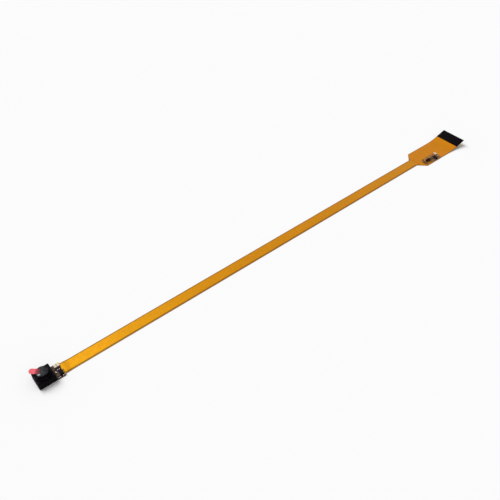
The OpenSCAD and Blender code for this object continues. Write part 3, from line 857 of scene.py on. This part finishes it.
# Both mouldings are swept round the lens axis. A ring is (radius at an angle, height at an angle),
# and small steps between rings soften the edges.

def square_radius(a, r, t):
    """Distance to the outline of a square with half side a and corner radius r, at angle t."""
    c, s = abs(math.cos(t)), abs(math.sin(t))
    d = a / max(c, s)
    if min(c, s) * d > a - r:
        b = (a - r) * (c + s)
        d = b + math.sqrt(max(b * b - (2 * (a - r) ** 2 - r * r), 0))
    return d


def square(a, r, z):
    """A level ring with the outline of a rounded square."""
    return lambda t: square_radius(a, r, t), lambda t: z


def circle(r, z):
    """A level round ring."""
    return lambda t: r, lambda t: z


def in_notch(t, centres, half):
    """Whether an angle lies within half a notch's width of a centre."""
    return any(abs((t - c + math.pi) % math.tau - math.pi) < half for c in centres)


def notch_edges(centres, half):
    """Angles just inside and outside each edge of the notches."""
    return [c + s * (half + d) for c in centres for s in (-1, 1) for d in (-0.004, 0.004)]


def swept(name, rings, extra_angles, material, node):
    """A ring-shaped solid from rings, with points at even angles and at the extra ones."""
    even_angles = [math.tau * i / 88 for i in range(88)]
    angles = sorted({round(t % math.tau, 6) for t in even_angles + extra_angles})
    angles = [t for k, t in enumerate(angles) if k == 0 or t - angles[k - 1] > 0.0006]
    verts = []
    for radius, height in rings:
        verts += [(radius(t) * math.cos(t), radius(t) * math.sin(t), height(t)) for t in angles]
    add(name, verts, rings_to_faces(len(rings), len(angles), True), material, [node], sharp=28)


GLUE_AT = [math.radians(45 + 90 * i) for i in range(4)]
GLUE_HALF = GLUE_NOTCH_W / 2 / TOWER_R
GRIP_AT = [math.tau * i / GRIPS for i in range(GRIPS)]
GRIP_HALF = GRIP_W / 2 / BARREL_R


def side(h, inset=0.0):
    """A ring of the holder's leaning outside, at a height above its foot."""
    d = DRAFT * min(h / SIDE_H, 1.0) + inset
    return square(BODY_A - d, max(CORNER_R - d, 0.03), FLEX_TOP + h)


def notched(r, z):
    """A ring of the holder's tower, which dips into the glue notches."""
    return lambda t: r, lambda t: min(z, GLUE_NOTCH_Z) if in_notch(t, GLUE_AT, GLUE_HALF) else z


def gripped(r, z):
    """A ring of the barrel, which draws in at the grip notches."""
    return lambda t: min(r, BARREL_R - GRIP_DEPTH) if in_notch(t, GRIP_AT, GRIP_HALF) else r, lambda t: z


def holder_moulding():
    """From the foot up the outside, over the tower's rim and down the inside."""
    rings = [side(0, 0.03), side(0.03), side(SIDE_H - 0.04), side(SIDE_H + 0.015, 0.015)]
    rings += [side(SIDE_H + CHAMFER - 0.018, CHAMFER - 0.018), side(SIDE_H + CHAMFER, CHAMFER + 0.03)]
    rings += [circle(TOWER_R + COVE_R - 0.01, BODY_TOP)]
    rings += [circle(TOWER_R + COVE_R * (1 - math.sin(a)), BODY_TOP + COVE_R * (1 - math.cos(a)))
              for a in map(math.radians, (20, 40, 60, 80))]
    rings += [circle(TOWER_R, BODY_TOP + COVE_R + 0.02), circle(TOWER_R, GLUE_NOTCH_Z - 0.01)]
    rings += [notched(TOWER_R, GLUE_NOTCH_Z), notched(TOWER_R, TOWER_TOP - 0.15)]
    rings += [notched(TOWER_R - 0.02, TOWER_TOP - 0.09), notched(TOWER_R - 0.07, TOWER_TOP - 0.03)]
    rings += [notched(TOWER_R - 0.15, TOWER_TOP), notched(BORE_R + 0.05, TOWER_TOP)]
    rings += [notched(BORE_R, TOWER_TOP - 0.05), circle(BORE_R, LEDGE_Z + LEDGE_T)]
    rings += [square(WINDOW_A, INNER_CORNER_R, z) for z in (LEDGE_Z + LEDGE_T, LEDGE_Z)]
    rings += [square(BODY_A - BODY_WALL, INNER_CORNER_R, z) for z in (LEDGE_Z, FLEX_TOP)]
    degrees_off_corner = (-2.9, -2.2, -1.4, -0.7, 0, 0.7, 1.4, 2.2, 2.9)
    angles = [corner + math.radians(d) for corner in GLUE_AT for d in degrees_off_corner]
    angles += notch_edges(GLUE_AT, GLUE_HALF)
    swept("holder_moulding", rings, angles, holder_black, "lens_holder")


def barrel_moulding():
    """From the bottom up the outside, over the grip, down the cone and through the lens seats."""
    bottom, top, seat = barrel_low.z, BARREL_TOP, BARREL_TOP - CONE_H - APERTURE_T
    rings = [circle(BARREL_R - 0.05, bottom), circle(BARREL_R, bottom + 0.05)]
    rings += [circle(BARREL_R, TOWER_TOP - 0.1)]
    for k in range(THREAD_TURNS):            # the last turns of the thread show above the tower
        z = TOWER_TOP - 0.02 + THREAD_PITCH * k
        rings += [circle(BARREL_R, z), circle(BARREL_R - 0.05, z + 0.05)]
        rings += [circle(BARREL_R - 0.05, z + 0.08), circle(BARREL_R, z + 0.13)]
    rings += [circle(BARREL_R, top - GRIP_H - 0.002), gripped(BARREL_R, top - GRIP_H)]
    rings += [gripped(BARREL_R, top - 0.12), gripped(BARREL_R - 0.012, top - 0.075)]
    rings += [gripped(BARREL_R - 0.05, top - 0.03), gripped(BARREL_R - 0.12, top)]
    rings += [circle(CONE_R + 0.05, top), circle(CONE_R, top - 0.012)]
    for k in range(CONE_STEPS):              # fine steps down the cone to the aperture
        r = CONE_R - (CONE_R - APERTURE_R) * k / CONE_STEPS
        z = top - CONE_H * k / CONE_STEPS
        rings += [circle(r - 0.12, z - 0.03), circle(r - 0.15, z - 0.11)]
    rings += [circle(APERTURE_R, top - CONE_H), circle(APERTURE_R, seat)]
    floors = [seat - SEAT_H * k for k in range(len(SEAT_R))] + [bottom]
    for r, above, below in zip(SEAT_R, floors, floors[1:]):
        rings += [circle(r, above), circle(r, below)]
    angles = notch_edges(GRIP_AT, GRIP_HALF)
    swept("barrel_moulding", rings, angles, barrel_black, "lens_barrel")


holder_moulding()
barrel_moulding()


# ---------------------------------------------------------------- optics

def sag(r, q):
    """How far a spherical face falls from its pole, at the distance q from the axis."""
    return r - math.sqrt(r * r - q * q)


def arc(r, clear, z_pole, n=12):
    """Points of a spherical face from its pole out to the clear radius."""
    return [(clear * i / n, z_pole - sag(r, clear * i / n)) for i in range(n + 1)]


def lens(node, front_r, front_clear, rear_r, rear_clear):
    """A lens with a flat seat round its two curved faces."""
    low, high = mm_box(node)
    r, edge = (high.x - low.x) / 2, 0.04
    shoulder = high.z - sag(front_r, front_clear)
    profile = arc(front_r, front_clear, high.z)
    profile += [(r - edge, shoulder), (r, shoulder - edge), (r, low.z + edge), (r - edge, low.z)]
    profile += reversed(arc(rear_r, rear_clear, low.z + sag(rear_r, rear_clear)))
    lathe(node + "_polished", profile, lens_clear, [node], sharp=25)


def washer(name, node, inner):
    """A flat black ring."""
    low, high = mm_box(node)
    r, b = (high.x - low.x) / 2, min(0.02, (high.z - low.z) / 4)
    profile = [(inner, low.z + b), (inner, high.z - b), (inner + b, high.z), (r - b, high.z),
               (r, high.z - b), (r, low.z + b), (r - b, low.z), (inner + b, low.z)]
    lathe(name, profile, barrel_black, [node])


lens("front_lens", 2.4, 0.97, 3.2, 0.9)
lens("middle_lens", 6.0, 0.6, 4.0, 1.2)
lens("rear_lens", 9.0, 1.3, 9.0, 1.5)

washer("aperture_ring", "aperture_stop", APERTURE_R)
washer("spacer_ring", "lens_spacer", 1.6)
washer("retainer_ring", "lens_retainer", 1.85)

refine("infrared_filter", 0.03, filter_glass)
refine("sensor_cover_glass", 0.03, cover_glass)
refine("image_sensor", 0.02, silicon)


# ---------------------------------------------------------------- protective film and tab

def film_line(u):
    """Place, height and slope of the film's underside, from the distance u along it."""
    if u <= BEND_FROM:
        return u, BARREL_TOP, 0.0
    r = BEND_L / LIFT
    a = min((u - BEND_FROM) / r, LIFT)
    past = max(u - BEND_FROM - BEND_L, 0.0)
    return (BEND_FROM + r * math.sin(a) + past * math.cos(a),
            BARREL_TOP + r * (1 - math.cos(a)) + past * math.sin(a), a)


def on_film(u, v, h):
    """A point of the film, slightly wavy: u along the tab, v across it, h above the underside."""
    x, z, a = film_line(u)
    wave = 0.012 * noise.noise(Vector((u * 1.3, v * 1.3, 3.1)))
    held = min(1.0, 3.2 - abs(v))                # the waves die down towards the disc's edge
    if h > 0 or u > BEND_FROM + 0.1:
        h += wave * held
    if u < BEND_FROM:
        h = max(h, 0.0)                          # the film stays on the barrel's rim
    along = x - h * math.sin(a)
    c, s = math.cos(TAB_DIR), math.sin(TAB_DIR)
    return Vector((along * c - v * s + FILM_SHIFT, along * s + v * c, z + h * math.cos(a)))


def film_columns(meet):
    """The film's outline: a disc, then from meet on a tongue with a round end."""
    end_r = TAB_W / 2
    end_from = TAB_REACH + 0.02 - end_r
    disc_steps = [math.radians(a) for a in range(5, 91, 5)]
    end_steps = [math.radians(a) for a in range(8, 88, 8)]
    columns = [(-FILM_R * math.cos(a), FILM_R * math.sin(a)) for a in disc_steps]
    columns += [(u, math.sqrt(FILM_R ** 2 - u * u)) for u in spread(0, meet, 0.2)[1:]]
    columns += [(u, end_r) for u in spread(meet, end_from, 0.15)[1:]]
    columns += [(end_from + end_r * math.sin(a), end_r * math.cos(a)) for a in end_steps]
    return columns


def film_and_tab():
    """The grey film, and on its tongue the red tab with the same outline."""
    meet = math.sqrt(FILM_R ** 2 - TAB_W ** 2 / 4)
    columns = film_columns(meet)
    verts, faces = strip_sheet(columns, on_film, 0.0, FILM_T, edge=0.012, across=13)
    add("film", verts, faces, film_clear, ["protective_film"], sharp=50)

    tongue = [(u, TAB_W / 2) for u in spread(TAB_FROM, meet, 0.15)]
    tongue += [(u, w) for u, w in columns if u > meet + 1e-6]
    verts, faces = strip_sheet(tongue, on_film, FILM_T, FILM_T + TAB_T, edge=0.012, across=11)
    add("tab", verts, faces, tab_red, ["pull_tab"], sharp=50)


film_and_tab()


# ---------------------------------------------------------------- stiffeners, contacts and small parts

refine("head_stiffener", 0.03, laminate)
refine("contact_stiffener", 0.03, black_film)
refine("contacts", 0.012, gold)

# A chip's height decides its tone, so the tin ends are painted shaded, glinting and lit by height, and the
# chips at these places are as pale as the tallest, a painted highlight.
TALL_BODY = [(0.6, ceramic)]
TALL_ENDS = [(0.42, tin), (0.6, tin_painted_highlight)]
HEAD_PAINTED_HIGHLIGHTS = [(STRIP_END - 3.275, -0.06 * HEAD_W)]
END_PAINTED_HIGHLIGHTS = [(BASE_X + 1.9, -0.24 * END_W), (BASE_X + 7.1, -0.22 * END_W), (BASE_X + 12.8, -0.35 * END_W)]

refine("head_resistors", 0.03, resistor_black)
refine("end_resistors", 0.03, resistor_black)
refine("end_capacitors", 0.03, ceramic_brown, taller=TALL_BODY)
refine("head_capacitors", 0.03, ceramic_brown, taller=TALL_BODY,
       pale=ceramic, painted_highlight_places=HEAD_PAINTED_HIGHLIGHTS)
refine("head_terminals", 0.045, tin_painted_glint, taller=TALL_ENDS, pale=tin_painted_highlight, painted_highlight_places=HEAD_PAINTED_HIGHLIGHTS)
refine("end_terminals", 0.045, tin_painted_glint, taller=TALL_ENDS, pale=tin_painted_highlight, painted_highlight_places=END_PAINTED_HIGHLIGHTS)
refine("head_solder", 0.015, solder, angle=40, sharp=50)
refine("end_solder", 0.015, solder, angle=40, sharp=50)
refine("driver_chip", 0.03, package_black)
refine("regulator_1", 0.04, package_black)
refine("regulator_2", 0.04, package_black)
refine("driver_leads", 0.015, tin, angle=50, sharp=50)
refine("regulator_1_leads", 0.02, tin, angle=50, sharp=50)
refine("regulator_2_leads", 0.02, tin, angle=50, sharp=50)


# ---------------------------------------------------------------- floor

def pale_floor(half_side, z):
    """A plain sheet under the module, with its sizes in metres."""
    corners = [(x * half_side, y * half_side, z) for x, y in ((-1, -1), (1, -1), (1, 1), (-1, 1))]
    mesh = bpy.data.meshes.new("floor")
    mesh.from_pydata(corners, [], [(0, 1, 2, 3)])
    mesh.materials.append(new_material("floor_white", (0.94, 0.94, 0.945), 0.9, 0.0, 0.0))
    floor = bpy.data.objects.new("floor", mesh)
    bpy.context.scene.collection.objects.link(floor)


pale_floor(3, -0.00001)


# ---------------------------------------------------------------- light

def studio_world(ambient, backdrop):
    """An even pale room, which lights the object less than it shows to the camera, gloss and glass."""
    world = bpy.data.worlds.new("studio")
    bpy.context.scene.world = world
    world.use_nodes = True
    nodes, links = world.node_tree.nodes, world.node_tree.links
    nodes.clear()
    rays = nodes.new("ShaderNodeLightPath")
    seen = rays.outputs["Is Camera Ray"]
    for kind in ("Is Glossy Ray", "Is Transmission Ray"):
        either = nodes.new("ShaderNodeMath")
        either.operation = "MAXIMUM"
        links.new(seen, either.inputs[0])
        links.new(rays.outputs[kind], either.inputs[1])
        seen = either.outputs[0]
    mix = nodes.new("ShaderNodeMixShader")
    links.new(seen, mix.inputs[0])
    for socket, strength in ((1, ambient), (2, backdrop)):
        background = nodes.new("ShaderNodeBackground")
        background.inputs["Color"].default_value = (1, 1, 1, 1)
        background.inputs["Strength"].default_value = strength
        links.new(background.outputs[0], mix.inputs[socket])
    out = nodes.new("ShaderNodeOutputWorld")
    links.new(mix.outputs[0], out.inputs["Surface"])


def sun(name, azimuth, elevation, strength, angle):
    """A soft distant lamp. Azimuth is where it stands, from +Y towards +X."""
    lamp = bpy.data.lights.new(name, "SUN")
    lamp.energy = strength
    lamp.angle = math.radians(angle)
    obj = bpy.data.objects.new(name, lamp)
    bpy.context.scene.collection.objects.link(obj)
    a, e = math.radians(azimuth), math.radians(elevation)
    direction = Vector((-math.sin(a) * math.cos(e), -math.cos(a) * math.cos(e), -math.sin(e)))
    obj.rotation_mode = "QUATERNION"
    obj.rotation_quaternion = direction.to_track_quat("-Z", "Y")
    obj.location = (0, 0, 1)


studio_world(ambient=0.44, backdrop=0.94)
sun("key", azimuth=-18, elevation=53, strength=2.32, angle=42)


# ---------------------------------------------------------------- camera

def photo_camera(place, heading, tilt, roll, lens_mm):
    """A camera in metres and degrees: heading is from +Y towards -X, tilt is up from straight down."""
    data = bpy.data.cameras.new("camera")
    data.sensor_width = 36.0
    data.lens = lens_mm
    data.clip_start, data.clip_end = 0.01, 20
    camera = bpy.data.objects.new("camera", data)
    bpy.context.scene.collection.objects.link(camera)
    bpy.context.scene.camera = camera
    turns = ((heading, "Z"), (tilt, "X"), (roll, "Z"))
    heading_turn, tilt_turn, roll_turn = (Matrix.Rotation(math.radians(a), 4, axis) for a, axis in turns)
    camera.matrix_world = Matrix.Translation(place) @ heading_turn @ tilt_turn @ roll_turn


photo_camera((-0.01526, -0.174956, 0.221884), heading=-37.28, tilt=45.5764, roll=-2.0224, lens_mm=41.939)

scene = bpy.context.scene
scene.view_settings.view_transform = "Standard"
